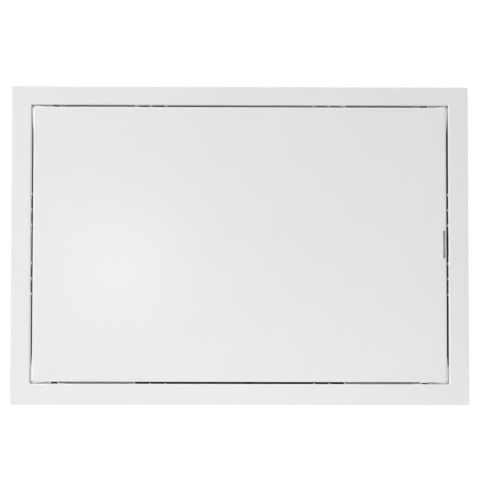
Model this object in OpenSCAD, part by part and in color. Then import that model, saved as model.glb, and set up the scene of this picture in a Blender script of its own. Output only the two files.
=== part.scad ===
// Access hatch for a ceiling or wall board: a moulded frame with a flush door.
// The door turns on two pivot pins at its left edge and is held by a sprung latch at its right edge.
// X runs to the right, Y runs into the board and Z runs up. The flange's back lies on the plane Y = 0.

/* [Frame] */
// Clear width of the opening
opening_w = 301.6; // [261.6:1:401.6]
// Clear height of the opening
opening_h = 201.6; // [181.6:1:301.6]
// Corner radius of the opening
opening_r = 1; // [0.8:0.1:3]
// Width of the flange around the opening
flange_w = 14.2; // [13.7:0.5:19.7]
// Distance of the flange's middle below the opening's middle
flange_drop = 0.8; // [0:0.1:1.5]
// Thickness of the flange
flange_t = 3; // [2.6:0.1:3.4]
// Corner radius of the flange's outline
flange_r = 1.2; // [1.2:0.1:2]
// Rounding of the flange's outer edge
flange_edge = 0.4; // [0.3:0.1:1.1]
// Rounding of the opening's front edge
opening_edge = 1; // [0.3:0.1:1.1]
// Wall of the collar that stands into the board
collar_t = 2; // [1.6:0.1:2.4]
// Depth of the collar behind the flange
collar_depth = 28; // [26:1:40]
// Leg of the triangular webs in the collar's rear corners
web_leg = 14; // [8:1:18]
// Thickness of the corner webs
web_t = 3; // [2:0.5:5]
// Length of each ledge that the closed door stops against
ledge_l = 50; // [20:1:54]
// Reach of the ledges into the opening
ledge_w = 3; // [2.5:0.1:4]
// Thickness of the ledges
ledge_t = 2; // [1.5:0.1:3]

/* [Door] */
// Gap between the door and the opening, on every side
door_gap = 1.45; // [1.3:0.05:1.6]
// Corner radius of the door
door_r = 1.5; // [1.2:0.1:3]
// Rounding of the door's front edge
door_edge = 1; // [0.4:0.1:1.2]
// Thickness of the door's face
face_t = 2.3; // [2:0.1:2.6]
// Depth of the door with its rim
door_depth = 8; // [7.6:0.1:9]
// Wall of the door's rim
rim_t = 1.8; // [1.4:0.1:2.2]
// Clearance of the centring pads on the rim's corners
pad_clear = 0.55; // [0.5:0.05:1]
// Thickness of the ribs behind the face
rib_t = 1.4; // [1:0.1:2]
// Height of the ribs behind the face
rib_h = 3; // [2:0.1:4]
// Pitch of the upright ribs
rib_pitch_x = 45; // [40:1:50]
// Pitch of the level ribs
rib_pitch_z = 48; // [40:1:56]

/* [Hinge] */
// Distance of the pivot axis from the opening's side
hinge_inset = 17.3; // [15.3:0.5:20.3]
// Depth of the pivot axis behind the door's front
hinge_depth = 5; // [4.6:0.1:5.2]
// Diameter of the hinge pins
pin_d = 2.5; // [2:0.1:2.8]
// Radial running clearance of the hinge pins
pin_clear = 0.03; // [0.02:0.01:0.08]
// Wall of the pivot bushes
bush_wall = 0.65; // [0.5:0.05:0.9]
// Reach of a bush's head past its body
bush_lip = 0.65; // [0.4:0.05:1]
// Running gap between a bush's head and the door
bush_gap = 0.1; // [0.05:0.05:0.3]
// Height of the pivot bosses on the collar's outside
boss_h = 2; // [1.5:0.1:3]
// Width of the pivot bosses
boss_w = 9; // [8:0.5:12]
// Length of the lower pin's socket in the door
socket_l = 12; // [8:0.5:20]
// Travel of the upper pin
pin_travel = 6; // [5.5:0.1:7]
// Length of the upper pin's guide in the door
guide_l = 15; // [12:0.5:20]
// Room that the upper pin's spring keeps when the pin is drawn back
pin_spring_min = 8.5; // [6:0.5:12]
// Coil diameter of the upper pin's spring
pin_spring_d = 3.8; // [3.6:0.1:4]
// Diameter of the upper pin's thumb knob
knob_d = 5; // [4:0.1:5.2]
// Length of the thumb knob
knob_l = 7; // [5:0.5:10]
// Thickness of the upper pin's cover
pin_cover_t = 1.2; // [1:0.1:1.4]

/* [Latch] */
// Length of the key slot in the door's face
slot_l = 20; // [16:0.5:20.5]
// Width of the key slot
slot_w = 1.7; // [1.2:0.1:2]
// Web between the key slot and the door's edge
slot_edge = 0.8; // [0.6:0.1:1.2]
// Width of the latch bolt
bolt_w = 22; // [21.6:0.2:24]
// Length of the latch bolt behind the door's edge
bolt_l = 23; // [18:0.5:26]
// Width of the bolt's nose
nose_w = 16; // [12:0.5:18]
// Grip of the bolt's nose behind the opening's side
bolt_grip = 1.2; // [0.8:0.1:1.5]
// Sliding clearance around the bolt
slide_clear = 0.15; // [0.1:0.05:0.25]
// Coil diameter of the latch spring
latch_spring_d = 2.4; // [2:0.1:2.6]
// Room behind the bolt for its spring
latch_bay = 10.6; // [9:0.2:12]
// Thickness of the latch cover
latch_cover_t = 1.5; // [1.2:0.1:1.8]

/* [Fixing clips] */
// Distance between the fixing points along the top and bottom
fix_pitch_x = 129; // [120:1:140]
// Distance between the fixing points along the sides
fix_pitch_z = 50; // [46:1:60]
// Width of each of a fixing point's two windows
window_w = 9.2; // [8:0.1:10]
// Length of the windows along the collar's depth
window_l = 10; // [8:0.5:11]
// Width of the ribs beside the windows
window_rib = 1.9; // [1.5:0.1:2.5]
// Thickness of the board that the clips hold
board_t = 12.5; // [9.5:0.5:14]
// Thickness of the clips' steel strip
clip_t = 0.6; // [0.4:0.1:0.8]
// Width of the clips
clip_w = 19; // [17:0.5:20]
// Flare of the clips' legs from the collar
leg_angle = 28; // [26:1:34]
// Distance of a leg's foot from the collar
foot_d = 8.2; // [6:0.1:9]

/* [Fasteners] */
// Shank diameter of the cover screws
screw_d = 2.2; // [1.8:0.1:2.4]
// Head diameter of the cover screws
screw_head_d = 4; // [3.4:0.1:4.6]
// Length of the cover screws below the head
screw_l = 4.6; // [4:0.1:4.8]

/* [Hidden] */
$fn = 48;

// Length by which joined shapes run into each other and cuts run past a face
lap = 0.5;
// Clearance of a piece that is seated and doesn't move
seat_clear = 0.01;

// Frame and door outlines
half_w = opening_w / 2;
half_h = opening_h / 2;
front_y = -flange_t;
flange_outer_w = opening_w + 2 * flange_w;
flange_outer_h = opening_h + 2 * flange_w;
door_w = opening_w - 2 * door_gap;
door_h = opening_h - 2 * door_gap;
door_x = door_w / 2;
door_z = door_h / 2;
face_back_y = front_y + face_t;
rim_back_y = front_y + door_depth;
ledge_gap = 0.3;
ledge_pivot_gap = 7.5;

// Hinge
hinge_x = half_w - hinge_inset;
hinge_y = front_y + hinge_depth;
pad_h = door_gap - pad_clear;
pad_y0 = face_back_y;
pad_y1 = 2 * hinge_y - pad_y0;
pad_flat = 5;
pad_end = 12;
skirt_y = 3;
skirt_clear = 0.25;
skirt_gap = 0.4;
pin_bore_d = pin_d + 2 * pin_clear;
bush_d = pin_bore_d + 2 * bush_wall;
bush_head_d = bush_d + 2 * bush_lip;
bush_head_t = door_gap - bush_gap;
plug_head_t = 1;
boss_z = half_h + collar_t + boss_h;
pin_tip_gap = 0.5;
pin_tip_z = boss_z - pin_tip_gap;
tip_chamfer = 0.5;
block_w = 8.4;
shoulder_t = 1.3;
shoulder_gap = 0.1;
guide_z = door_z - rim_t - guide_l;
spring_top_z = guide_z - shoulder_gap - shoulder_t;
pin_spring_l = pin_travel + pin_spring_min;
saddle_z = spring_top_z - pin_spring_l;
saddle_t = 4;
knob_gap = 3;
knob_z = saddle_z - saddle_t - knob_gap;
groove_t = 1;
groove_cut = 0.5;
chamber_w = 5.4;
pin_cover_gap = 0.1;
pin_cover_y = hinge_y + pin_spring_d / 2 + pin_cover_gap;
pin_cover_w = 23;
pin_cover_lap = 2;
pin_screw_x = 8.4;
pin_screw_z = (guide_z + saddle_z) / 2;

// Latch
slot_x = door_x - slot_edge - slot_w / 2;
latch_cover_y = rim_back_y - latch_cover_t;
bolt_y0 = face_back_y + slide_clear;
bolt_y1 = latch_cover_y - slide_clear;
bolt_y = (bolt_y0 + bolt_y1) / 2;
bolt_end = door_x - slide_clear;
bolt_back = bolt_end - bolt_l;
nose_tip = half_w + bolt_grip;
nose_y0 = 0.6;
nose_flat = 0.6;
strike_gap = 0.3;
ear_w = 2.4;
ear_l = 3;
ear_gap = 0.1;
wall_t = 1.6;
rail_x = bolt_back + ear_l + ear_gap;
rail_z = bolt_w / 2 + slide_clear;
bay_z = rail_z + ear_w;
bay_x = bolt_back - latch_bay;
key_room = 0.9;
key_pocket = 0.8;
key_end_gap = 0.3;
spring_pocket_l = 4;
spring_pocket_gap = 0.3;
spring_end_gap = 0.05;
spigot_l = 2.5;
boss_d = 5.6;
latch_boss_z = bay_z + wall_t + boss_d / 2 - lap;
latch_boss_inset = 7;
latch_boss_x = bay_x + latch_boss_inset;
cover_edge = 3.4;
cover_r = 2;
tongue_gap = 0.25;
latch_wire_d = 0.35;
spigot_d = latch_spring_d - 2 * latch_wire_d - spring_pocket_gap;
pin_wire_d = 0.45;
coil_turns = 8;
coil_steps = 12;
coil_sides = 6;

// Fixing clips, hooked through the collar's windows
fixings = [
    [0, -fix_pitch_x / 2, half_h],
    [0, fix_pitch_x / 2, half_h],
    [90, -fix_pitch_z / 2, half_w],
    [90, fix_pitch_z / 2, half_w],
    [180, -fix_pitch_x / 2, half_h],
    [180, fix_pitch_x / 2, half_h],
    [270, -fix_pitch_z / 2, half_w],
    [270, fix_pitch_z / 2, half_w]
];
window_y = 3;
window_pitch = window_w + window_rib;
fixing_rib_w = 1.2;
rib_proud = 0.5;
rib_inset = 0.2;
rib_y0 = front_y + opening_edge + rib_inset;
rib_y1 = -2 * rib_inset;
hook_w = 7;
hook_l = 4.4;
hook_clear = 0.1;
hook_gap = 0.4;
hook_y = window_y + window_l - hook_gap - clip_t / 2;
lance_l = 6.5;
lance_gap = 0.2;
bend_r = 1.5;
bend_steps = 8;
foot_l = 2.4;
foot_gap = 0.2;
clip_y0 = 4.5;
clip_mid = collar_t + clip_t / 2;
foot_y = board_t + foot_gap + clip_t / 2;
leg_rise = foot_d + collar_t - clip_mid - bend_r * (1 + cos(leg_angle));
clip_y1 = foot_y + leg_rise / tan(leg_angle) - bend_r * sin(leg_angle);

white_abs = "#f1f1f0";
natural_acetal = "#e4e4df";
black_acetal = "#26282a";
spring_steel = "#9aa0a6";
plated_steel = "#c3c6ca";

// Unit normal to the left of a step from p to q
function side(p, q) = [p.y - q.y, q.x - p.x] / norm(q - p);

// Offset of a strip's corner i, so that both of its legs keep their thickness
function corner_offset(path, i) =
    let (
        last = len(path) - 1,
        before = i == 0 ? side(path[0], path[1]) : side(path[i - 1], path[i]),
        after = i == last ? before : side(path[i], path[i + 1]),
        middle = before + after
    )
    2 * middle / (middle * middle);

// Outline of a strip of thickness t along a path
function strip_outline(path, t) =
    let (last = len(path) - 1)
    concat(
        [for (i = [0:last]) path[i] + corner_offset(path, i) * t / 2],
        [for (i = [last:-1:0]) path[i] - corner_offset(path, i) * t / 2]
    );

// Extrudes an outline drawn in X and Z from y0 to y1
module along_y(y0, y1) {
    translate([0, y1, 0]) rotate([90, 0, 0]) linear_extrude(y1 - y0) children();
}

// Extrudes an outline drawn in Y and Z to a width, centred on X = 0
module across(width) {
    translate([-width / 2, 0, 0]) rotate([90, 0, 90]) linear_extrude(width) children();
}

// Block between two corners
module block(from, to) {
    translate(from) cube(to - from);
}

module round_rect(w, h, r) {
    square([w - 2 * r, h], center = true);
    square([w, h - 2 * r], center = true);
    for (x = [-1, 1], y = [-1, 1]) translate([x * (w / 2 - r), y * (h / 2 - r)]) circle(r);
}

// Runs a profile round a rounded rectangle: its x points outward from the outline and its y into depth
module edge_loop(w, h, r) {
    for (i = [0:3]) {
        a = i % 2 == 0 ? w / 2 : h / 2;
        b = i % 2 == 0 ? h / 2 : w / 2;
        rotate([0, 90 * i, 0]) {
            translate([a, 0, r - b]) linear_extrude(2 * (b - r)) children();
            translate([a - r, 0, r - b])
                rotate([-90, 0, 0]) rotate_extrude(angle = 90) translate([r, 0]) children();
        }
    }
}

// Plate with its front on Y = 0, whose front edge is rounded all round.
// Its core runs past the axes of the corners, and the edge's profile starts clear of them.
module soft_plate(w, h, r, edge, depth) {
    flat = r - edge;
    core = r - flat / 2;
    reach = r - flat / 4;
    translate([core - w / 2, 0, core - h / 2]) cube([w - 2 * core, depth, h - 2 * core]);
    edge_loop(w, h, r) {
        translate([-reach, edge]) square([reach, depth - edge]);
        translate([-reach, 0]) square([reach - edge, depth]);
        intersection() {
            translate([-edge, edge]) circle(edge);
            translate([-edge, 0]) square(edge);
        }
    }
}

// Takes the sharp front edge off an opening, with the front on Y = 0
module soft_opening_cut(w, h, r, edge) {
    edge_loop(w, h, r) difference() {
        translate([-lap, -lap]) square(edge + lap);
        translate([edge, edge]) circle(edge);
    }
}

// Places a fixing point's shapes: X runs along the wall, Z outward from its inner face
module at_fixing(fixing) {
    rotate([0, fixing[0], 0]) translate([fixing[1], 0, fixing[2]]) children();
}

module fixing_windows() {
    for (s = [-1, 1])
        translate([s * window_pitch / 2 - window_w / 2, window_y, -lap])
            cube([window_w, window_l, collar_t + 2 * lap]);
}

// Three short ribs in the gap, in line with the ribs beside the windows
module fixing_ribs() {
    for (i = [-1:1])
        translate([i * window_pitch - fixing_rib_w / 2, rib_y0, -rib_proud])
            cube([fixing_rib_w, rib_y1 - rib_y0, rib_proud + lap]);
}

// Cylinder along Z between two heights, on the pivot axis
module pivot_rod(d, z0, z1) {
    translate([-hinge_x, hinge_y, z0]) cylinder(h = z1 - z0, d = d);
}

// Cylinder along Y between two depths
module rod_y(x, z, d, y0, y1) {
    translate([x, y1, z]) rotate([90, 0, 0]) cylinder(h = y1 - y0, d = d);
}

// Helical wire along Z, from 0 to its length
module coil(coil_d, wire_d, length) {
    steps = coil_turns * coil_steps;
    mean_r = (coil_d - wire_d) / 2;
    rise = length - wire_d;
    points = [
        for (i = [0:steps], j = [0:coil_sides - 1])
            let (
                turn = 360 * i / coil_steps,
                around = 360 * j / coil_sides,
                r = mean_r + wire_d / 2 * cos(around)
            )
            [r * cos(turn), r * sin(turn), wire_d / 2 + rise * i / steps + wire_d / 2 * sin(around)]
    ];
    sides = [
        for (i = [0:steps - 1], j = [0:coil_sides - 1])
            let (k = (j + 1) % coil_sides, a = i * coil_sides, b = a + coil_sides)
            each [[a + j, b + j, b + k], [a + j, b + k, a + k]]
    ];
    first = [for (j = [0:coil_sides - 1]) j];
    last = [for (j = [coil_sides - 1:-1:0]) steps * coil_sides + j];
    polyhedron(points, concat([first], sides, [last]), convexity = 10);
}

// Pan-head screw with a cross recess, its head's underside on Y = 0 and its tip toward -Y
module cover_screw() {
    head_h = 1.2;
    recess_l = 2.4;
    recess_w = 0.6;
    recess_h = 0.7;
    rod_y(0, 0, screw_d, -screw_l, lap);
    difference() {
        rod_y(0, 0, screw_head_d, 0, head_h);
        for (size = [[recess_l, recess_w], [recess_w, recess_l]])
            along_y(head_h - recess_h, head_h + lap) square(size, center = true);
    }
}

module frame() {
    color(white_abs) {
        difference() {
            union() {
                translate([0, front_y, -flange_drop])
                    soft_plate(flange_outer_w, flange_outer_h, flange_r, flange_edge, flange_t);
                along_y(-lap, collar_depth)
                    round_rect(opening_w + 2 * collar_t, opening_h + 2 * collar_t, opening_r + collar_t);
                for (x = [-hinge_x, hinge_x])
                    block([x - boss_w / 2, -lap, -boss_z], [x + boss_w / 2, hinge_y + boss_w / 2, boss_z]);
            }
            along_y(front_y - lap, collar_depth + lap) round_rect(opening_w, opening_h, opening_r);
            translate([0, front_y, 0]) soft_opening_cut(opening_w, opening_h, opening_r, opening_edge);
            for (x = [-hinge_x, hinge_x])
                translate([x, hinge_y, -boss_z - lap])
                    cylinder(h = 2 * (boss_z + lap), d = bush_d + 2 * seat_clear);
            for (fixing = fixings) at_fixing(fixing) fixing_windows();
            strike_windows();
        }
        for (fixing = fixings) at_fixing(fixing) fixing_ribs();
        stop_ledges();
        corner_webs();
    }
}

// Windows for the latch's nose, one on each side so that the door can hang either way
module strike_windows() {
    reach = half_w + collar_t + lap;
    half = nose_w / 2 + strike_gap;
    block([half_w - lap, nose_y0 - strike_gap, -half], [reach, bolt_y1 + strike_gap, half]);
    block([-reach, nose_y0 - strike_gap, -half], [lap - half_w, bolt_y1 + strike_gap, half]);
}

// Ledges on the top and bottom walls, just behind the closed door's rim
module stop_ledges() {
    outer = hinge_x - ledge_pivot_gap;
    y0 = rim_back_y + ledge_gap;
    for (x = [-outer, outer - ledge_l], z = [-half_h - lap, half_h - ledge_w])
        translate([x, y0, z]) cube([ledge_l, ledge_t, ledge_w + lap]);
}

module corner_webs() {
    for (x = [0, 1], z = [0, 1])
        mirror([x, 0, 0]) mirror([0, 0, z])
            along_y(collar_depth - web_t, collar_depth)
                polygon([
                    [half_w + lap, half_h - web_leg],
                    [half_w + lap, half_h - opening_r],
                    [half_w - opening_r, half_h + lap],
                    [half_w - web_leg, half_h + lap]
                ]);
}

// Spring clip in its fixing point's place: a base on the collar, a leg that flares out
// behind the board, and two hooks that are lanced from the base and grip the collar's inside
module fixing_clip(fixing) {
    bend = [
        for (i = [0:bend_steps])
            let (a = -90 + (180 - leg_angle) * i / bend_steps)
            [clip_y1 + bend_r * cos(a), clip_mid + bend_r * (1 + sin(a))]
    ];
    foot_z = collar_t + foot_d;
    strip = concat([[clip_y0, clip_mid]], bend, [[foot_y, foot_z], [foot_y, foot_z + foot_l]]);
    hook_z = -hook_clear - clip_t / 2;
    hook = [[hook_y, clip_mid], [hook_y, hook_z], [hook_y + hook_l, hook_z]];
    color(spring_steel) at_fixing(fixing) {
        difference() {
            across(clip_w) polygon(strip_outline(strip, clip_t));
            for (s = [-1, 1])
                translate([
                    s * window_pitch / 2 - hook_w / 2 - lance_gap,
                    hook_y + clip_t / 2,
                    collar_t - lap
                ])
                    cube([hook_w + 2 * lance_gap, lance_l, clip_t + 2 * lap]);
        }
        for (s = [-1, 1])
            translate([s * window_pitch / 2, 0, 0]) across(hook_w) polygon(strip_outline(hook, clip_t));
    }
}

// Headed bush for the upper pivot; the head fills the gap above the door
module bush() {
    difference() {
        union() {
            pivot_rod(bush_d, half_h - lap, boss_z);
            pivot_rod(bush_head_d, half_h - bush_head_t, half_h);
        }
        pivot_rod(pin_bore_d, half_h - bush_head_t - lap, boss_z + lap);
    }
}

// Headed plug that closes a pivot bore that isn't used
module spare_plug() {
    mirror([1, 0, 0]) {
        pivot_rod(bush_d, half_h - lap, boss_z);
        pivot_rod(bush_head_d, half_h - plug_head_t, half_h);
    }
}

module upper_pivot_bush() {
    color(black_acetal) bush();
}

module lower_pivot_bush() {
    color(black_acetal) mirror([0, 0, 1]) bush();
}

module upper_spare_plug() {
    color(black_acetal) spare_plug();
}

module lower_spare_plug() {
    color(black_acetal) mirror([0, 0, 1]) spare_plug();
}

module door_panel() {
    color(white_abs) difference() {
        union() {
            door_shell();
            centring_pads();
            pivot_skirts();
            door_ribs();
            hinge_blocks();
            latch_walls();
        }
        hinge_bores();
        latch_cuts();
    }
}

// Face and rim in one moulding
module door_shell() {
    difference() {
        translate([0, front_y, 0]) soft_plate(door_w, door_h, door_r, door_edge, door_depth);
        along_y(face_back_y, rim_back_y + lap)
            round_rect(door_w - 2 * rim_t, door_h - 2 * rim_t, max(door_r - rim_t, lap));
    }
}

// Pads that wrap the rim's corners behind the front edge and taper off along its sides
module centring_pads() {
    inside = rim_t / 2;
    along_y(pad_y0, pad_y1) intersection() {
        round_rect(door_w + 2 * pad_h, door_h + 2 * pad_h, door_r);
        for (x = [0, 1], z = [0, 1])
            mirror([x, 0]) mirror([0, z])
                polygon([
                    [door_x - inside, door_z - inside],
                    [door_x - inside, door_z - pad_end],
                    [door_x, door_z - pad_end],
                    [door_x + pad_h, door_z - pad_flat],
                    [door_x + pad_h, door_z + pad_h],
                    [door_x - pad_flat, door_z + pad_h],
                    [door_x - pad_end, door_z],
                    [door_x - pad_end, door_z - inside]
                ]);
    }
}

// Short ribs on the rim beside the pivots, which close the gap from sight as far as the ledges
module pivot_skirts() {
    x0 = hinge_x - ledge_pivot_gap;
    x1 = hinge_x - bush_head_d / 2 - skirt_gap;
    for (x = [0, 1], z = [0, 1])
        mirror([x, 0, 0]) mirror([0, 0, z])
            block([x0, skirt_y, door_z - lap], [x1, rim_back_y, half_h - skirt_clear]);
}

module door_ribs() {
    y0 = face_back_y - lap;
    y1 = face_back_y + rib_h;
    left = -hinge_x + pin_cover_w / 2 + cover_r;
    right = bay_x - wall_t;
    top = door_z - rim_t + lap;
    for (x = [-2 * rib_pitch_x:rib_pitch_x:2 * rib_pitch_x])
        block([x - rib_t / 2, y0, -top], [x + rib_t / 2, y1, top]);
    for (z = [-rib_pitch_z:rib_pitch_z:rib_pitch_z])
        block([left, y0, z - rib_t / 2], [right, y1, z + rib_t / 2]);
}

// Lower pin's socket, upper pin's guide, spring chamber and saddle
module hinge_blocks() {
    y0 = face_back_y - lap;
    inner_z = door_z - rim_t + lap;
    half = block_w / 2;
    block([-hinge_x - half, y0, -inner_z], [-hinge_x + half, rim_back_y, -inner_z + socket_l + lap]);
    block([-hinge_x - half, y0, guide_z], [-hinge_x + half, pin_cover_y, inner_z]);
    block([-hinge_x - half, y0, saddle_z - saddle_t], [-hinge_x + half, pin_cover_y, saddle_z]);
    for (s = [-1, 1]) {
        inner = -hinge_x + s * chamber_w / 2;
        outer = -hinge_x + s * half;
        block(
            [min(inner, outer), y0, saddle_z - lap],
            [max(inner, outer), pin_cover_y, guide_z + lap]
        );
        rod_y(-hinge_x + s * pin_screw_x, pin_screw_z, boss_d, y0, pin_cover_y);
        block(
            [-hinge_x + min(s * half, s * pin_screw_x) - lap, y0, pin_screw_z - wall_t / 2],
            [-hinge_x + max(s * half, s * pin_screw_x), pin_cover_y, pin_screw_z + wall_t / 2]
        );
    }
}

module hinge_bores() {
    pivot_rod(pin_d + 2 * seat_clear, -door_z - lap, -door_z + socket_l);
    pivot_rod(pin_bore_d, guide_z - lap, door_z + lap);
    pivot_rod(pin_bore_d, saddle_z - saddle_t - lap, saddle_z + lap);
    block(
        [-hinge_x - pin_bore_d / 2, hinge_y, saddle_z - saddle_t - lap],
        [-hinge_x + pin_bore_d / 2, pin_cover_y + lap, saddle_z + lap]
    );
    for (s = [-1, 1])
        rod_y(
            -hinge_x + s * pin_screw_x,
            pin_screw_z,
            screw_d + 2 * seat_clear,
            pin_cover_y + pin_cover_t - screw_l - lap / 2,
            pin_cover_y + lap
        );
}

// Rails beside the bolt, the wider bay behind them, the spring's wall and spigot, and the screw bosses
module latch_walls() {
    y0 = face_back_y - lap;
    y1 = latch_cover_y;
    for (m = [0, 1]) mirror([0, 0, m]) {
        block([rail_x, y0, rail_z], [door_x - rim_t + lap, y1, rail_z + wall_t]);
        block([rail_x, y0, rail_z], [rail_x + wall_t, y1, bay_z + wall_t]);
        block([bay_x - wall_t, y0, bay_z], [rail_x + wall_t, y1, bay_z + wall_t]);
        rod_y(latch_boss_x, latch_boss_z, boss_d, y0, y1);
    }
    block([bay_x - wall_t, y0, -bay_z - lap], [bay_x, y1, bay_z + lap]);
    translate([bay_x - lap, bolt_y, 0]) rotate([0, 90, 0]) cylinder(h = spigot_l + lap, d = spigot_d);
}

// Key slot through the face, the nose's notch in the rim, and the screws' bores
module latch_cuts() {
    along_y(front_y - lap, face_back_y + lap) translate([slot_x, 0]) {
        square([slot_w, slot_l - slot_w], center = true);
        for (s = [-1, 1]) translate([0, s * (slot_l - slot_w) / 2]) circle(d = slot_w);
    }
    block([door_x - rim_t - lap, face_back_y, -rail_z], [door_x + lap, rim_back_y + lap, rail_z]);
    for (s = [-1, 1])
        rod_y(
            latch_boss_x,
            s * latch_boss_z,
            screw_d + 2 * seat_clear,
            rim_back_y - screw_l - lap / 2,
            latch_cover_y + lap
        );
}

// Fixed pin, pressed into the door's socket
module lower_hinge_pin() {
    color(plated_steel) {
        pivot_rod(pin_d, tip_chamfer - pin_tip_z, -door_z + socket_l);
        translate([-hinge_x, hinge_y, -pin_tip_z])
            cylinder(h = tip_chamfer, d1 = pin_d - 2 * tip_chamfer, d2 = pin_d);
    }
}

// Sprung pin with a shoulder for its spring and a grooved thumb knob
module upper_hinge_pin() {
    color(plated_steel) {
        pivot_rod(pin_d, knob_z - lap, pin_tip_z - tip_chamfer);
        translate([-hinge_x, hinge_y, pin_tip_z - tip_chamfer])
            cylinder(h = tip_chamfer, d1 = pin_d, d2 = pin_d - 2 * tip_chamfer);
        pivot_rod(pin_spring_d, spring_top_z, spring_top_z + shoulder_t);
        difference() {
            pivot_rod(knob_d, knob_z - knob_l, knob_z);
            for (i = [1:3]) {
                z = knob_z - i * knob_l / 4;
                difference() {
                    pivot_rod(knob_d + lap, z - groove_t / 2, z + groove_t / 2);
                    pivot_rod(knob_d - 2 * groove_cut, z - groove_t, z + groove_t);
                }
            }
        }
    }
}

module upper_pin_spring() {
    color(spring_steel)
        translate([-hinge_x, hinge_y, saddle_z + spring_end_gap])
            coil(pin_spring_d, pin_wire_d, pin_spring_l - 2 * spring_end_gap);
}

// Plate that closes the spring chamber and holds the pin in its saddle
module upper_pin_cover() {
    z0 = saddle_z - saddle_t;
    z1 = guide_z + pin_cover_lap;
    color(white_abs) difference() {
        along_y(pin_cover_y, pin_cover_y + pin_cover_t)
            translate([-hinge_x, (z0 + z1) / 2]) round_rect(pin_cover_w, z1 - z0, cover_r);
        for (s = [-1, 1])
            rod_y(
                -hinge_x + s * pin_screw_x,
                pin_screw_z,
                screw_d + 2 * seat_clear,
                pin_cover_y - lap,
                pin_cover_y + pin_cover_t + lap
            );
    }
}

module pin_cover_screw(s) {
    color(plated_steel)
        translate([-hinge_x + s * pin_screw_x, pin_cover_y + pin_cover_t, pin_screw_z]) cover_screw();
}

// Sliding bolt with a bevelled nose, stop ears, a pocket for the key and a bore for its spring
module latch_bolt() {
    color(natural_acetal) difference() {
        union() {
            block([bolt_back, bolt_y0, -bolt_w / 2], [bolt_end, bolt_y1, bolt_w / 2]);
            block(
                [bolt_back, bolt_y0, -bolt_w / 2 - ear_w + slide_clear],
                [bolt_back + ear_l, bolt_y1, bolt_w / 2 + ear_w - slide_clear]
            );
            translate([0, 0, -nose_w / 2]) linear_extrude(nose_w) polygon([
                [bolt_end - lap, nose_y0],
                [nose_tip, nose_y0],
                [nose_tip, nose_y0 + nose_flat],
                [bolt_end, bolt_y1],
                [bolt_end - lap, bolt_y1]
            ]);
        }
        block(
            [slot_x - slot_w / 2 - key_room, bolt_y0 - lap, -slot_l / 2 - key_end_gap],
            [slot_x + slot_w / 2, bolt_y0 + key_pocket, slot_l / 2 + key_end_gap]
        );
        translate([bolt_back - lap, bolt_y, 0])
            rotate([0, 90, 0]) cylinder(h = spring_pocket_l + lap, d = latch_spring_d + spring_pocket_gap);
    }
}

module latch_spring() {
    color(spring_steel)
        translate([bay_x + spring_end_gap, bolt_y, 0])
            rotate([0, 90, 0])
                coil(latch_spring_d, latch_wire_d, latch_bay + spring_pocket_l - 2 * spring_end_gap);
}

// Plate over the bolt, with a tongue that closes the notch in the rim
module latch_cover() {
    x0 = bay_x - wall_t;
    x1 = door_x - rim_t - tongue_gap;
    h = 2 * (latch_boss_z + cover_edge);
    tongue_h = 2 * (rail_z - tongue_gap);
    color(white_abs) difference() {
        along_y(latch_cover_y, rim_back_y) {
            translate([(x0 + x1) / 2, 0]) round_rect(x1 - x0, h, cover_r);
            translate([x1 - cover_r, -tongue_h / 2]) square([bolt_end - x1 + cover_r, tongue_h]);
        }
        for (s = [-1, 1])
            rod_y(
                latch_boss_x,
                s * latch_boss_z,
                screw_d + 2 * seat_clear,
                latch_cover_y - lap,
                rim_back_y + lap
            );
    }
}

module latch_cover_screw(s) {
    color(plated_steel) translate([latch_boss_x, rim_back_y, s * latch_boss_z]) cover_screw();
}

frame();
fixing_clip(fixings[0]);  // fixing_clip_top_left
fixing_clip(fixings[1]);  // fixing_clip_top_right
fixing_clip(fixings[2]);  // fixing_clip_right_upper
fixing_clip(fixings[3]);  // fixing_clip_right_lower
fixing_clip(fixings[4]);  // fixing_clip_bottom_right
fixing_clip(fixings[5]);  // fixing_clip_bottom_left
fixing_clip(fixings[6]);  // fixing_clip_left_lower
fixing_clip(fixings[7]);  // fixing_clip_left_upper
upper_pivot_bush();
lower_pivot_bush();
upper_spare_plug();
lower_spare_plug();
door_panel();
lower_hinge_pin();
upper_hinge_pin();
upper_pin_spring();
upper_pin_cover();
pin_cover_screw(-1);  // pin_cover_screw_left
pin_cover_screw(1);  // pin_cover_screw_right
latch_bolt();
latch_spring();
latch_cover();
latch_cover_screw(1);  // latch_cover_screw_upper
latch_cover_screw(-1);  // latch_cover_screw_lower
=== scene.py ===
"""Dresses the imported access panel: finishes, wound springs, thin trim, studio light and camera."""

import logging
import math
from dataclasses import dataclass
from enum import Enum

import bmesh
import bpy
from mathutils import Matrix, Vector

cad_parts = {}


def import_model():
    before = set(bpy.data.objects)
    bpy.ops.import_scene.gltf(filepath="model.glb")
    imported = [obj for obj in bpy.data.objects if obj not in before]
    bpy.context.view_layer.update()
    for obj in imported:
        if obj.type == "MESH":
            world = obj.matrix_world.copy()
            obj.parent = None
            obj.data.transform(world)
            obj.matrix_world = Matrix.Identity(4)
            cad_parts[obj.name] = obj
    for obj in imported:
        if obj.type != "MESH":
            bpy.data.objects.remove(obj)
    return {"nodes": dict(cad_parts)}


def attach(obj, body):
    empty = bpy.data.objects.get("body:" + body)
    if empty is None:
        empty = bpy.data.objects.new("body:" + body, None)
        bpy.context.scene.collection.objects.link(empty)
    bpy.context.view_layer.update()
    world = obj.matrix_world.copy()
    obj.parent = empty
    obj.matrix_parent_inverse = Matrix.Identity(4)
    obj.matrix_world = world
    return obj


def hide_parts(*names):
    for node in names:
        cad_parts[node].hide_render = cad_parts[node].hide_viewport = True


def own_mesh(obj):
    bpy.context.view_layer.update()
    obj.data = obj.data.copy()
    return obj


LOG = logging.getLogger("access_panel")
MM = 0.001
# Half width and half height of the door
DOOR_HALF_MM = (149.35, 99.35)
# Depth by which thin trim runs into the piece that carries it
SUNK_MM = 0.05
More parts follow.
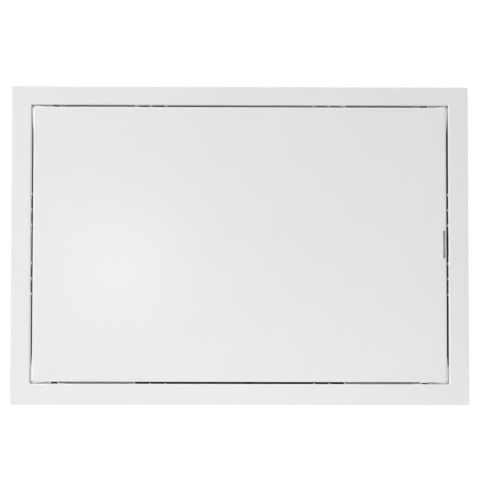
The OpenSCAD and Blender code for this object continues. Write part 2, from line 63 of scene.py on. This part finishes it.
# Angle below which the faces of a strip are shaded as one surface
STRIP_SMOOTH_DEG = 35.0
# The sRGB curve: where its straight toe ends, the toe's slope, and the offset and power above it
SRGB_TOE = 0.04045
SRGB_SLOPE = 12.92
SRGB_OFFSET = 0.055
SRGB_POWER = 2.4
# A colour mix node's factor, its two colours and its result, by socket number
MIX_FACTOR, MIX_FIRST, MIX_SECOND = 0, 6, 7
MIX_RESULT = 2

Triple = tuple[float, float, float]
Pair = tuple[float, float]
# Places along a strip, each with the share of the strip's full height there
Heights = tuple[Pair, ...]


class Body(Enum):
    """The moving bodies that pieces of the scene ride on."""

    FRAME = "frame_body"
    DOOR = "door_body"


class Slot(Enum):
    """The finishes that the record names."""

    FRAME = "frame"
    DOOR = "door"
    COVER = "cover"
    BOLT = "bolt"
    BUSH = "bush"
    SPRING_STEEL = "spring_steel"
    PLATED_STEEL = "plated_steel"


class Grain(Enum):
    """The way in which a pattern is drawn out over a surface."""

    ALONG_Y = (1.0, 0.06, 1.0)
    EVEN = (1.0, 1.0, 1.0)


def srgb(code: str) -> tuple[float, float, float, float]:
    """Turns an sRGB hex colour into linear light.

    Args:
        code: Six hex digits with a leading number sign.

    Returns:
        Linear red, green, blue and full opacity.
    """
    channels = [int(code[i : i + 2], 16) / 255 for i in (1, 3, 5)]
    linear = [
        c / SRGB_SLOPE if c <= SRGB_TOE else ((c + SRGB_OFFSET) / (1 + SRGB_OFFSET)) ** SRGB_POWER
        for c in channels
    ]
    return (*linear, 1.0)


def add_node(
    tree: bpy.types.NodeTree,
    kind: str,
    settings: dict | None = None,
    links: dict | None = None,
) -> bpy.types.Node:
    """Adds one node with its settings and links.

    Args:
        tree: The node tree that takes the node.
        kind: Blender's name for the node.
        settings: Values by socket name, socket number or property name.
        links: Source sockets by socket name or number.

    Returns:
        The new node.
    """
    node = tree.nodes.new(kind)
    for key, value in (settings or {}).items():
        if isinstance(key, int) or key in node.inputs:
            node.inputs[key].default_value = value
        else:
            setattr(node, key, value)
    for key, source in (links or {}).items():
        tree.links.new(source, node.inputs[key])
    return node


@dataclass(frozen=True)
class Pattern:
    """A noise pattern by the real size of its features."""

    size_mm: float
    detail: float
    roughness: float
    distortion: float = 0.0
    grain: Grain = Grain.EVEN

    def field(self, tree: bpy.types.NodeTree, place: bpy.types.NodeSocket) -> bpy.types.NodeSocket:
        """Adds the pattern's nodes.

        Args:
            tree: The material's node tree.
            place: The place on the piece, in metres.

        Returns:
            The pattern's value, from 0 to 1.
        """
        drawn = add_node(tree, "ShaderNodeMapping", {"Scale": self.grain.value}, {"Vector": place})
        settings = {
            "Scale": 1 / (self.size_mm * MM),
            "Detail": self.detail,
            "Roughness": self.roughness,
            "Distortion": self.distortion,
        }
        noise = add_node(tree, "ShaderNodeTexNoise", settings, {"Vector": drawn.outputs["Vector"]})
        return noise.outputs["Fac"]


@dataclass(frozen=True)
class Surface:
    """What every finish has: a tone that drifts slowly, and a finer pattern for its gloss and relief."""

    name: str
    light: str
    dark: str
    roughness: float
    roughness_drift: float
    tone: Pattern
    relief: Pattern
    relief_mm: float

    def material(self, shader_values: dict[str, float]) -> bpy.types.Material:
        """Builds the material's nodes.

        Args:
            shader_values: Constant values of the shader by socket name.

        Returns:
            The finished material.
        """
        made = bpy.data.materials.new(self.name)
        made.use_nodes = True
        tree = made.node_tree
        shader = tree.nodes["Principled BSDF"]
        for socket, value in shader_values.items():
            shader.inputs[socket].default_value = value
        place = add_node(tree, "ShaderNodeTexCoord").outputs["Object"]
        colour = add_node(
            tree,
            "ShaderNodeMix",
            {"data_type": "RGBA", MIX_FIRST: srgb(self.dark), MIX_SECOND: srgb(self.light)},
            {MIX_FACTOR: self.tone.field(tree, place)},
        ).outputs[MIX_RESULT]
        relief = self.relief.field(tree, place)
        gloss = add_node(
            tree,
            "ShaderNodeMapRange",
            {
                "To Min": self.roughness - self.roughness_drift,
                "To Max": self.roughness + self.roughness_drift,
            },
            {"Value": relief},
        ).outputs["Result"]
        bump = add_node(
            tree,
            "ShaderNodeBump",
            {"Strength": 1.0, "Distance": self.relief_mm * MM},
            {"Height": relief},
        ).outputs["Normal"]
        tree.links.new(colour, shader.inputs["Base Color"])
        tree.links.new(gloss, shader.inputs["Roughness"])
        tree.links.new(bump, shader.inputs["Normal"])
        return made


@dataclass(frozen=True)
class MouldedPlastic:
    """A moulded plastic with a fine spark-eroded grain and a slow drift of tone from the mould's flow."""

    name: str
    light: str
    dark: str
    roughness: float
    ior: float
    flow_mm: float = 70.0
    grain_mm: float = 0.9
    grain_depth_mm: float = 0.006
    roughness_drift: float = 0.03
    specular_level: float = 0.5

    def material(self) -> bpy.types.Material:
        """Builds the plastic's material."""
        surface = Surface(
            self.name,
            self.light,
            self.dark,
            self.roughness,
            self.roughness_drift,
            tone=Pattern(self.flow_mm, detail=2.0, roughness=0.4, distortion=0.6),
            relief=Pattern(self.grain_mm, detail=3.0, roughness=0.6),
            relief_mm=self.grain_depth_mm,
        )
        return surface.material({"IOR": self.ior, "Specular IOR Level": self.specular_level})


@dataclass(frozen=True)
class SteelFinish:
    """A steel surface with fine streaks and a patchy film over it."""

    name: str
    bright: str
    dull: str
    roughness: float
    roughness_drift: float
    streak_mm: float
    streak_depth_mm: float
    patch_mm: float
    grain: Grain = Grain.EVEN

    def material(self) -> bpy.types.Material:
        """Builds the steel's material."""
        surface = Surface(
            self.name,
            self.bright,
            self.dull,
            self.roughness,
            self.roughness_drift,
            tone=Pattern(self.patch_mm, detail=3.0, roughness=0.55),
            relief=Pattern(self.streak_mm, detail=4.0, roughness=0.65, grain=self.grain),
            relief_mm=self.streak_depth_mm,
        )
        return surface.material({"Metallic": 1.0})


# White ABS, moulded in a finely eroded tool: an even satin white with a soft sheen and no visible grain
# from across a room. Its real grain is about 0.1 mm and is drawn coarser so that it shows.
WHITE_ABS = MouldedPlastic("abs_white_moulded_satin", "#EEEEEE", "#EBEBEB", roughness=0.18, ior=1.53)
# Natural acetal, moulded: milky and waxy, a little duller than the white of the ABS.
NATURAL_ACETAL = MouldedPlastic(
    "acetal_natural_moulded", "#E5E5E4", "#DBDBDA", roughness=0.38, ior=1.48, flow_mm=12.0
)
# Acetal, moulded, in a dull mid grey that is painted shade: it is lost in the shade of the gap, on upper
# pivot pieces whose own acetal matches the black lower ones.
GAP_SHADE_GREY_ACETAL = MouldedPlastic(
    "acetal_grey_painted_gap_shade", "#7C7D7E", "#727374", roughness=0.42, ior=1.48, flow_mm=4.0
)
# Black acetal, moulded: deep neutral black with a dull, slightly greasy sheen.
BLACK_ACETAL = MouldedPlastic(
    "acetal_black_moulded", "#1E1F20", "#161718", roughness=0.42, ior=1.48, flow_mm=4.0
)
# EPDM rubber, extruded: matt black that swallows light, used as painted shade in the gaps around the door,
# which are dark only from shade. Its pitted skin mirrors less than its IOR gives.
GAP_SHADE_BLACK_RUBBER = MouldedPlastic(
    "epdm_black_painted_gap_shade", "#1C1D1E", "#151617", roughness=0.75, ior=1.50, flow_mm=6.0, specular_level=0.2
)
# Hardened spring steel, cold-rolled strip: mid grey with fine rolling lines and an oil-tempered cast.
# The lines are about 0.05 mm apart and are drawn coarser so that they show.
STRIP_STEEL = SteelFinish(
    "spring_steel_cold_rolled",
    "#A9ABAD",
    "#8B8D90",
    roughness=0.34,
    roughness_drift=0.08,
    streak_mm=0.5,
    streak_depth_mm=0.004,
    patch_mm=9.0,
    grain=Grain.ALONG_Y,
)
# Spring steel, drawn wire: bright grey with faint marks from the die, drawn coarser than they are.
WIRE_STEEL = SteelFinish(
    "spring_steel_drawn_wire",
    "#B4B6B8",
    "#94969A",
    roughness=0.30,
    roughness_drift=0.08,
    streak_mm=0.3,
    streak_depth_mm=0.002,
    patch_mm=2.0,
)
# Mild steel, barrel-plated with zinc and clear-passivated: pale silver with a cool tint and a soft sparkle.
# Its crystals are finer than a tenth of a millimetre and are drawn coarser so that they show.
ZINC_STEEL = SteelFinish(
    "mild_steel_zinc_plated",
    "#D3D5D8",
    "#BBBFC4",
    roughness=0.26,
    roughness_drift=0.07,
    streak_mm=0.35,
    streak_depth_mm=0.003,
    patch_mm=1.6,
)
# Matt pale paper, calendered: the floor, nearly even in tone and without gloss.
FLOOR_PAPER = MouldedPlastic("paper_matt_pale", "#E9E9E9", "#E7E7E7", roughness=0.8, ior=1.45)

PANEL_FINISHES = (
    WHITE_ABS,
    NATURAL_ACETAL,
    GAP_SHADE_GREY_ACETAL,
    BLACK_ACETAL,
    GAP_SHADE_BLACK_RUBBER,
    STRIP_STEEL,
    WIRE_STEEL,
    ZINC_STEEL,
)
Nodes = dict[str, bpy.types.Object]
Finishes = dict[MouldedPlastic | SteelFinish, bpy.types.Material]


def give_finish(piece: bpy.types.Object, material: bpy.types.Material, slot: Slot | None = None) -> None:
    """Gives a piece its finish.

    Args:
        piece: The piece.
        material: Its finish.
        slot: Not used.
    """
    piece.data.materials.clear()
    piece.data.materials.append(material)
    LOG.info("%s: %s", piece.name, material.name)


def mesh_object(name: str, mesh: bmesh.types.BMesh, smooth_deg: float = 30.0) -> bpy.types.Object:
    """Turns a finished bmesh into an object in the scene.

    Args:
        name: The piece's name.
        mesh: Its faces, in metres.
        smooth_deg: Faces that meet at a smaller angle are shaded as one surface.

    Returns:
        The new object.
    """
    data = bpy.data.meshes.new(name)
    bmesh.ops.recalc_face_normals(mesh, faces=mesh.faces)
    mesh.to_mesh(data)
    mesh.free()
    made = bpy.data.objects.new(name, data)
    bpy.context.scene.collection.objects.link(made)
    data.shade_smooth()
    data.set_sharp_from_angle(angle=math.radians(smooth_deg))
    return made


def skin_rings(mesh: bmesh.types.BMesh, rings: list[list[bmesh.types.BMVert]]) -> None:
    """Joins rings of points into one tube with closed ends.

    Args:
        mesh: The mesh that holds the points.
        rings: The rings from end to end, each with the same number of points.
    """
    for first, second in zip(rings, rings[1:]):
        for i in range(len(first)):
            j = (i + 1) % len(first)
            mesh.faces.new((first[i], first[j], second[j], second[i]))
    mesh.faces.new(rings[0])
    mesh.faces.new(rings[-1])


@dataclass(frozen=True)
class CoilSpring:
    """A compression spring with closed ends, wound from round wire."""

    name: str
    foot_mm: Triple
    axis: Triple
    length_mm: float
    outer_d_mm: float
    wire_d_mm: float
    open_turns: float
    closed_turns: float = 1.0
    steps_per_turn: int = 36
    wire_sides: int = 14
    smooth_deg: float = 50.0

    def rise(self, turn: float) -> float:
        """Gives the height of the wire's centre line after some turns.

        Args:
            turn: Turns from the spring's foot.

        Returns:
            Height above the foot, in mm.
        """
        closed_rise = self.closed_turns * self.wire_d_mm
        open_rise = self.length_mm - self.wire_d_mm - 2 * closed_rise
        first = min(turn, self.closed_turns) * self.wire_d_mm
        middle = min(max(turn - self.closed_turns, 0.0), self.open_turns) / self.open_turns * open_rise
        last = max(turn - self.closed_turns - self.open_turns, 0.0) * self.wire_d_mm
        return self.wire_d_mm / 2 + first + middle + last

    def wind(self) -> bpy.types.Object:
        """Winds the wire.

        Returns:
            The spring's object.
        """
        foot = Vector(self.foot_mm)
        turned = Vector((0, 0, 1)).rotation_difference(Vector(self.axis)).to_matrix()
        turns = self.open_turns + 2 * self.closed_turns
        steps = round(turns * self.steps_per_turn)
        wire_r = self.wire_d_mm / 2
        coil_r = self.outer_d_mm / 2 - wire_r
        mesh = bmesh.new()
        rings = []
        for step in range(steps + 1):
            turn = turns * step / steps
            angle = 2 * math.pi * turn
            out = Vector((math.cos(angle), math.sin(angle), 0))
            ring = []
            for side in range(self.wire_sides):
                lean = 2 * math.pi * side / self.wire_sides
                height = Vector((0, 0, self.rise(turn) + wire_r * math.sin(lean)))
                point = out * (coil_r + wire_r * math.cos(lean)) + height
                ring.append(mesh.verts.new((foot + turned @ point) * MM))
            rings.append(ring)
        skin_rings(mesh, rings)
        return mesh_object(self.name, mesh, self.smooth_deg)

    def fit(self, node: str, travel_mm: float, material: bpy.types.Material) -> None:
        """Winds the spring in place of its plainer solid, which it hides, and carries it on the door's
        body.

        Args:
            node: The CAD node that it stands for.
            travel_mm: Not used.
            material: The wire's finish.
        """
        wire = self.wind()
        give_finish(wire, material, Slot.SPRING_STEEL)
        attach(wire, Body.DOOR.value)
        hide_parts(node)
        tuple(self.axis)
        tuple(value * MM for value in self.foot_mm)
        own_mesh(wire)


@dataclass(frozen=True)
class StripRun:
    """A strip's way along one side: which way is out and along, where it lies, and its heights."""

    out: Triple
    along: Triple
    reach_mm: float
    depth_mm: float
    heights: Heights


def lay_strip(name: str, section_mm: list[Pair], runs: list[StripRun]) -> bpy.types.Object:
    """Lays an extruded strip along its runs.

    Args:
        name: The piece's name.
        section_mm: The strip's section, as distance outward and depth.
        runs: The runs that the strip follows.

    Returns:
        The strip's object.
    """
    mesh = bmesh.new()
    inward = Vector((0, 1, 0))
    for run in runs:
        out, along = Vector(run.out), Vector(run.along)
        rings = []
        for place, share in run.heights:
            ring = []
            for lift, depth in section_mm:
                point = out * (run.reach_mm + lift * share) + along * place
                point += inward * (run.depth_mm + depth)
                ring.append(mesh.verts.new(point * MM))
            rings.append(ring)
        skin_rings(mesh, rings)
    return mesh_object(name, mesh, STRIP_SMOOTH_DEG)


@dataclass
class FrameAssembly:
    """The frame with its clips, pivot bushes and plugs, and a black strip behind the lower gap whose black
    is painted shade of that gap.
    """

    clips: tuple[str, ...] = (
        "fixing_clip_top_left",
        "fixing_clip_top_right",
        "fixing_clip_right_upper",
        "fixing_clip_right_lower",
        "fixing_clip_bottom_right",
        "fixing_clip_bottom_left",
        "fixing_clip_left_lower",
        "fixing_clip_left_upper",
    )
    upper_pivots: tuple[str, ...] = ("upper_pivot_bush", "upper_spare_plug")
    lower_pivots: tuple[str, ...] = ("lower_pivot_bush", "lower_spare_plug")
    opening_half_h_mm: float = 100.8
    strip_half_mm: float = 75.7
    # Depth of the strip's front, and its size
    strip_y_mm: float = 5.2
    strip_t_mm: float = 2.0
    strip_w_mm: float = 2.8
    strip_bevel_mm: float = 0.3

    def gap_shade_strip(self) -> bpy.types.Object:
        """Lays the strip between the lower ledges, just behind the closed door's rim; its black is painted
        shade of the lower gap.

        Returns:
            The strip's object.
        """
        shoulder = self.strip_bevel_mm - self.strip_w_mm
        section = [
            (SUNK_MM, 0.0),
            (shoulder, 0.0),
            (-self.strip_w_mm, self.strip_bevel_mm),
            (-self.strip_w_mm, self.strip_t_mm - self.strip_bevel_mm),
            (shoulder, self.strip_t_mm),
            (SUNK_MM, self.strip_t_mm),
        ]
        heights = ((-self.strip_half_mm, 1.0), (self.strip_half_mm, 1.0))
        run = StripRun((0, 0, -1), (1, 0, 0), self.opening_half_h_mm, self.strip_y_mm, heights)
        return lay_strip("frame_gap_shade_strip", section, [run])

    def dress(self, nodes: Nodes, finishes: Finishes) -> None:
        """Builds the black strip of painted gap shade and gives the pieces their finishes.

        Args:
            nodes: The frame's CAD objects by name.
            finishes: Materials by finish.
        """
        give_finish(nodes["frame"], finishes[WHITE_ABS], Slot.FRAME)
        for name in self.clips:
            give_finish(nodes[name], finishes[STRIP_STEEL], Slot.SPRING_STEEL)
        for name in self.upper_pivots:
            # The upper pivot pieces' grey is painted shade of the gap; they are of the same black acetal as
            # the lower ones.
            give_finish(nodes[name], finishes[GAP_SHADE_GREY_ACETAL], Slot.BUSH)
        for name in self.lower_pivots:
            give_finish(nodes[name], finishes[BLACK_ACETAL], Slot.BUSH)
        strip = self.gap_shade_strip()
        # The strip's black is painted shade of the lower gap.
        give_finish(strip, finishes[GAP_SHADE_BLACK_RUBBER])
        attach(strip, Body.FRAME.value)


@dataclass(frozen=True)
class RimGapShadeSeals:
    """Black rubber strips on the door's rim whose black is painted shade of the gaps around the door, low
    where they pass the ribs of the fixing points.
    """

    # Width of each seal on the rim and its height above it
    seal_mm: Pair = (1.8, 1.2)
    latch_seal_mm: Pair = (1.1, 1.35)
    seal_y_mm: float = 1.7
    latch_seal_y_mm: float = -0.75
    section_steps: int = 10
    # Distances of the fixing points from the middles of the sides, and of their ribs from each other
    fixing_x_mm: float = 64.5
    fixing_z_mm: float = 25.0
    rib_pitch_mm: float = 11.1
    # Length, ramps and height of the dips beside the ribs
    dip_mm: float = 1.6
    dip_ramp_mm: float = 0.1
    dip_h_mm: float = 0.8
    # Distances from the middles of the sides at which the seals end
    level_reach_mm: float = 76.4
    upright_reach_mm: float = 93.0
    # Length over which the seals' ends fall, and the share of the height that is left there
    tail_mm: float = 7.0
    tail_share: float = 0.4

    def section(self, size: Pair) -> list[Pair]:
        """Gives a seal's bulb in section.

        Args:
            size: The seal's width on the rim and its height above it, in mm.

        Returns:
            Points as distance out from the rim and depth from the seal's middle, in mm.
        """
        width, height = size
        half = width / 2
        bulb = []
        for step in range(self.section_steps + 1):
            angle = math.pi * step / self.section_steps
            bulb.append((height * math.sin(angle), -half * math.cos(angle)))
        return [(-SUNK_MM, -half), *bulb, (-SUNK_MM, half)]

    def heights(self, reach: float, fixing: float, full: float) -> Heights:
        """Gives a side's seal its heights: low beside the ribs of a fixing point, and falling at its ends.

        Args:
            reach: Distance from the side's middle at which the seal ends, in mm.
            fixing: Distance of the fixing points from the side's middle, in mm.
            full: The seal's full height, in mm.

        Returns:
            Places along the side with the share of the seal's full height, from end to end.
        """
        low = self.dip_h_mm / full
        dip_half = self.dip_mm / 2
        half = []
        for step in (-1, 0, 1):
            rib = fixing + step * self.rib_pitch_mm
            if rib + self.dip_mm < reach:
                half += [
                    (rib - dip_half - self.dip_ramp_mm, 1.0),
                    (rib - dip_half, low),
                    (rib + dip_half, low),
                    (rib + dip_half + self.dip_ramp_mm, 1.0),
                ]
        half += [(reach - self.tail_mm, 1.0), (reach, self.tail_share)]
        return (*((-place, share) for place, share in reversed(half)), *half)

    def rim_gap_shade_seal(self) -> bpy.types.Object:
        """Lays the black strip of painted gap shade along the rim's top and hinge side.

        Returns:
            The seal's object.
        """
        half_w, half_h = DOOR_HALF_MM
        full = self.seal_mm[1]
        level = self.heights(self.level_reach_mm, self.fixing_x_mm, full)
        upright = self.heights(self.upright_reach_mm, self.fixing_z_mm, full)
        runs = [
            StripRun((0, 0, 1), (1, 0, 0), half_h, self.seal_y_mm, level),
            StripRun((-1, 0, 0), (0, 0, 1), half_w, self.seal_y_mm, upright),
        ]
        return lay_strip("door_rim_gap_shade_seal", self.section(self.seal_mm), runs)

    def latch_side_gap_shade_seal(self) -> bpy.types.Object:
        """Lays the narrower black strip of painted gap shade on the latch side, in front of the latch's
        nose.

        Returns:
            The seal's object.
        """
        upright = self.heights(self.upright_reach_mm, self.fixing_z_mm, self.latch_seal_mm[1])
        run = StripRun((1, 0, 0), (0, 0, 1), DOOR_HALF_MM[0], self.latch_seal_y_mm, upright)
        return lay_strip("latch_side_gap_shade_seal", self.section(self.latch_seal_mm), [run])


@dataclass
class DoorAssembly:
    """The door's moulding, with its corner lips, the ejectors' marks behind it, and black strips on its rim
    whose black is painted shade of the gaps.
    """

    seals: RimGapShadeSeals = RimGapShadeSeals()
    lip_h_mm: float = 1.1
    # Depths at which the lips begin and end
    lip_y_mm: Pair = (-2.0, -0.6)
    lip_bevel_mm: float = 0.25
    # Distances from the corner at which a lip begins to fall and at which it ends
    upright_lip_mm: Pair = (5.0, 19.0)
    level_lip_mm: Pair = (3.0, 10.0)
    lip_end_share: float = 0.02
    face_back_y_mm: float = -0.7
    mark_d_mm: float = 6.0
    mark_h_mm: float = 0.15
    mark_sides: int = 40
    mark_x_mm: tuple[float, ...] = (-67.5, -22.5, 22.5, 67.5)
    mark_z_mm: tuple[float, ...] = (-73.5, -24.0, 24.0, 73.5)

    def lip_heights(self, half: float, lengths: Pair) -> Heights:
        """Gives a lip its heights, from the corner towards the side's middle.

        Args:
            half: Distance of the corner from the side's middle, in mm.
            lengths: Distances from the corner at which the lip begins to fall and ends, in mm.

        Returns:
            Places along the side with the share of the lip's full height.
        """
        flat, end = lengths
        return ((half - self.lip_bevel_mm, 1.0), (half - flat, 1.0), (half - end, self.lip_end_share))

    def corner_lips(self) -> bpy.types.Object:
        """Makes the lips that narrow the gap beside the corners, full at first and then falling.

        Returns:
            The lips as one object.
        """
        front, back = self.lip_y_mm
        section = [
            (-SUNK_MM, front),
            (self.lip_h_mm - self.lip_bevel_mm, front),
            (self.lip_h_mm, front + self.lip_bevel_mm),
            (self.lip_h_mm, back),
            (-SUNK_MM, back),
        ]
        half_w, half_h = DOOR_HALF_MM
        upright = self.lip_heights(half_h, self.upright_lip_mm)
        level = self.lip_heights(half_w, self.level_lip_mm)
        runs = []
        for across in (-1, 1):
            for up in (-1, 1):
                runs.append(StripRun((across, 0, 0), (0, 0, up), half_w, 0.0, upright))
                runs.append(StripRun((0, 0, up), (across, 0, 0), half_h, 0.0, level))
        return lay_strip("door_corner_lips", section, runs)

    def ejector_marks(self) -> bpy.types.Object:
        """Makes the low round marks that the mould's ejectors leave behind the face.

        Returns:
            The marks as one object.
        """
        mesh = bmesh.new()
        middle = self.face_back_y_mm + (self.mark_h_mm - SUNK_MM) / 2
        upright = Matrix.Rotation(math.pi / 2, 4, "X")
        for x in self.mark_x_mm:
            for z in self.mark_z_mm:
                bmesh.ops.create_cone(
                    mesh,
                    cap_ends=True,
                    segments=self.mark_sides,
                    radius1=(self.mark_d_mm / 2 - self.mark_h_mm) * MM,
                    radius2=self.mark_d_mm / 2 * MM,
                    depth=(self.mark_h_mm + SUNK_MM) * MM,
                    matrix=Matrix.Translation((x * MM, middle * MM, z * MM)) @ upright,
                )
        return mesh_object("door_ejector_marks", mesh)

    def dress(self, nodes: Nodes, finishes: Finishes) -> None:
        """Builds the lips, the marks and the black strips of painted gap shade, and gives the pieces their
        finishes.

        Args:
            nodes: The frame's CAD objects by name.
            finishes: Materials by finish.
        """
        give_finish(nodes["door_panel"], finishes[WHITE_ABS], Slot.DOOR)
        for moulded in (self.corner_lips(), self.ejector_marks()):
            give_finish(moulded, finishes[WHITE_ABS], Slot.DOOR)
            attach(moulded, Body.DOOR.value)
        # These strips' black is painted shade of the gaps around the door.
        for seal in (self.seals.rim_gap_shade_seal(), self.seals.latch_side_gap_shade_seal()):
            give_finish(seal, finishes[GAP_SHADE_BLACK_RUBBER])
            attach(seal, Body.DOOR.value)


@dataclass
class HingeAssembly:
    """The door's two pivot pins, with the upper pin's spring, cover and screws."""

    steel_pieces: tuple[str, ...] = (
        "lower_hinge_pin",
        "upper_hinge_pin",
        "pin_cover_screw_left",
        "pin_cover_screw_right",
    )
    spring_foot_mm: Triple = (-133.5, 2.0, 66.65)
    spring_l_mm: float = 14.5
    spring_d_mm: float = 3.8
    wire_d_mm: float = 0.45
    open_turns: float = 9.0
    pin_travel_mm: float = 6.0

    def dress(self, nodes: Nodes, finishes: Finishes) -> None:
        """Winds the pin's spring and gives the pieces their finishes.

        Args:
            nodes: The frame's CAD objects by name.
            finishes: Materials by finish.
        """
        for name in self.steel_pieces:
            give_finish(nodes[name], finishes[ZINC_STEEL], Slot.PLATED_STEEL)
        give_finish(nodes["upper_pin_cover"], finishes[WHITE_ABS], Slot.COVER)
        spring = CoilSpring(
            "upper_pin_spring_wire",
            self.spring_foot_mm,
            (0, 0, 1),
            self.spring_l_mm,
            self.spring_d_mm,
            self.wire_d_mm,
            self.open_turns,
        )
        spring.fit("upper_pin_spring", self.pin_travel_mm, finishes[WIRE_STEEL])


@dataclass
class LatchAssembly:
    """The bolt behind the key slot, with its spring, cover and screws."""

    screws: tuple[str, ...] = ("latch_cover_screw_upper", "latch_cover_screw_lower")
    spring_foot_mm: Triple = (115.6, 1.4, 0.0)
    spring_l_mm: float = 14.6
    spring_d_mm: float = 2.4
    wire_d_mm: float = 0.35
    open_turns: float = 11.0
    bolt_travel_mm: float = 2.5

    def dress(self, nodes: Nodes, finishes: Finishes) -> None:
        """Winds the bolt's spring and gives the pieces their finishes.

        Args:
            nodes: The frame's CAD objects by name.
            finishes: Materials by finish.
        """
        give_finish(nodes["latch_bolt"], finishes[NATURAL_ACETAL], Slot.BOLT)
        give_finish(nodes["latch_cover"], finishes[WHITE_ABS], Slot.COVER)
        for name in self.screws:
            give_finish(nodes[name], finishes[ZINC_STEEL], Slot.PLATED_STEEL)
        spring = CoilSpring(
            "latch_spring_wire",
            self.spring_foot_mm,
            (1, 0, 0),
            self.spring_l_mm,
            self.spring_d_mm,
            self.wire_d_mm,
            self.open_turns,
        )
        spring.fit("latch_spring", self.bolt_travel_mm, finishes[WIRE_STEEL])


@dataclass(frozen=True)
class SoftLamp:
    """A square softbox that is turned to the middle of the panel, in metres and watts."""

    name: str
    place: Triple
    size: float
    power: float

    def build(self) -> None:
        """Hangs the lamp and turns it to the panel."""
        data = bpy.data.lights.new(self.name, "AREA")
        data.size = self.size
        data.energy = self.power
        lamp = bpy.data.objects.new(self.name, data)
        lamp.location = self.place
        lamp.rotation_euler = (-Vector(self.place)).to_track_quat("-Z", "Y").to_euler()
        bpy.context.scene.collection.objects.link(lamp)


@dataclass
class Studio:
    """Plain floor, soft lamps, white surroundings and the camera, in metres."""

    floor_z: float = -0.5
    floor_half: float = 9.0
    # Share of plain white in what the eye sees of the floor
    floor_glow: float = 0.32
    world_colour: str = "#FFFFFF"
    # Strength of the surroundings as a source of light
    ambient: float = 0.47
    eye: Triple = (-0.0228, -1.7205, -0.1141)
    pitch_deg: float = 3.896
    yaw_deg: float = 0.763
    roll_deg: float = 0.079
    lens_mm: float = 178.95
    lamps: tuple[SoftLamp, ...] = (
        SoftLamp("overhead", (-0.45, -0.60, 2.30), 1.4, 28.0),
        SoftLamp("left_side", (-1.20, -0.62, 0.22), 0.9, 7.1),
        SoftLamp("low_near", (0.05, -0.22, -0.30), 0.2, 0.195),
        SoftLamp("by_the_camera", (-0.145, -1.50, 0.075), 0.13, 0.20),
        SoftLamp("back", (0.60, 1.50, 1.20), 1.0, 9.0),
    )

    def seen(self, tree: bpy.types.NodeTree) -> bpy.types.NodeSocket:
        """Adds a switch for the rays by which the eye sees a surface, also in a mirror or through glass.

        Args:
            tree: The node tree that takes the switch.

        Returns:
            A value of 1 for those rays and 0 for all others.
        """
        path = add_node(tree, "ShaderNodeLightPath").outputs
        seen = path["Is Camera Ray"]
        for ray in ("Is Glossy Ray", "Is Transmission Ray"):
            either = add_node(tree, "ShaderNodeMath", {"operation": "MAXIMUM"}, {0: seen, 1: path[ray]})
            seen = either.outputs[0]
        return seen

    def floor(self) -> None:
        """Lays the floor, which is a little paler to the eye than its light makes it."""
        mesh = bmesh.new()
        bmesh.ops.create_grid(mesh, x_segments=1, y_segments=1, size=self.floor_half)
        made = mesh_object("studio_floor", mesh)
        made.location.z = self.floor_z
        paper = FLOOR_PAPER.material()
        tree = paper.node_tree
        settings = {"operation": "MULTIPLY", 1: self.floor_glow}
        share = add_node(tree, "ShaderNodeMath", settings, {0: self.seen(tree)})
        glow = add_node(tree, "ShaderNodeEmission", {"Color": srgb(self.world_colour), "Strength": 1.0})
        choice = {0: share.outputs[0], 1: tree.nodes["Principled BSDF"].outputs[0], 2: glow.outputs[0]}
        mixed = add_node(tree, "ShaderNodeMixShader", links=choice)
        tree.links.new(mixed.outputs[0], tree.nodes["Material Output"].inputs["Surface"])
        made.data.materials.append(paper)

    def surroundings(self) -> None:
        """Makes the world white to the eye and in reflections, and dimmer as a source of light."""
        world = bpy.data.worlds.new("studio_surroundings")
        bpy.context.scene.world = world
        world.use_nodes = True
        tree = world.node_tree
        tree.nodes.clear()
        dim, white = (
            add_node(tree, "ShaderNodeBackground", {"Color": srgb(self.world_colour), "Strength": strength})
            for strength in (self.ambient, 1.0)
        )
        choice = {0: self.seen(tree), 1: dim.outputs[0], 2: white.outputs[0]}
        mixed = add_node(tree, "ShaderNodeMixShader", links=choice)
        add_node(tree, "ShaderNodeOutputWorld", links={"Surface": mixed.outputs[0]})

    def camera(self) -> None:
        """Stands the camera where the photograph was taken from."""
        data = bpy.data.cameras.new("studio_camera")
        data.lens = self.lens_mm
        made = bpy.data.objects.new("studio_camera", data)
        turn = Matrix.Rotation(math.radians(-self.yaw_deg), 4, "Z")
        tip = Matrix.Rotation(math.radians(90 + self.pitch_deg), 4, "X")
        roll = Matrix.Rotation(math.radians(self.roll_deg), 4, "Z")
        made.matrix_world = Matrix.Translation(self.eye) @ turn @ tip @ roll
        bpy.context.scene.collection.objects.link(made)
        bpy.context.scene.camera = made

    def build(self) -> None:
        """Sets up the whole studio."""
        bpy.context.scene.view_settings.view_transform = "Standard"
        self.floor()
        self.surroundings()
        self.camera()
        for lamp in self.lamps:
            lamp.build()


def main(frame: dict) -> None:
    """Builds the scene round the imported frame.
    """
    logging.basicConfig(level=logging.INFO, format="%(name)s: %(message)s")
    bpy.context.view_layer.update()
    finishes = {finish: finish.material() for finish in PANEL_FINISHES}
    Studio().build()
    for part in (FrameAssembly(), DoorAssembly(), HingeAssembly(), LatchAssembly()):
        part.dress(frame["nodes"], finishes)


if __name__ == "__main__":
    main(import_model())
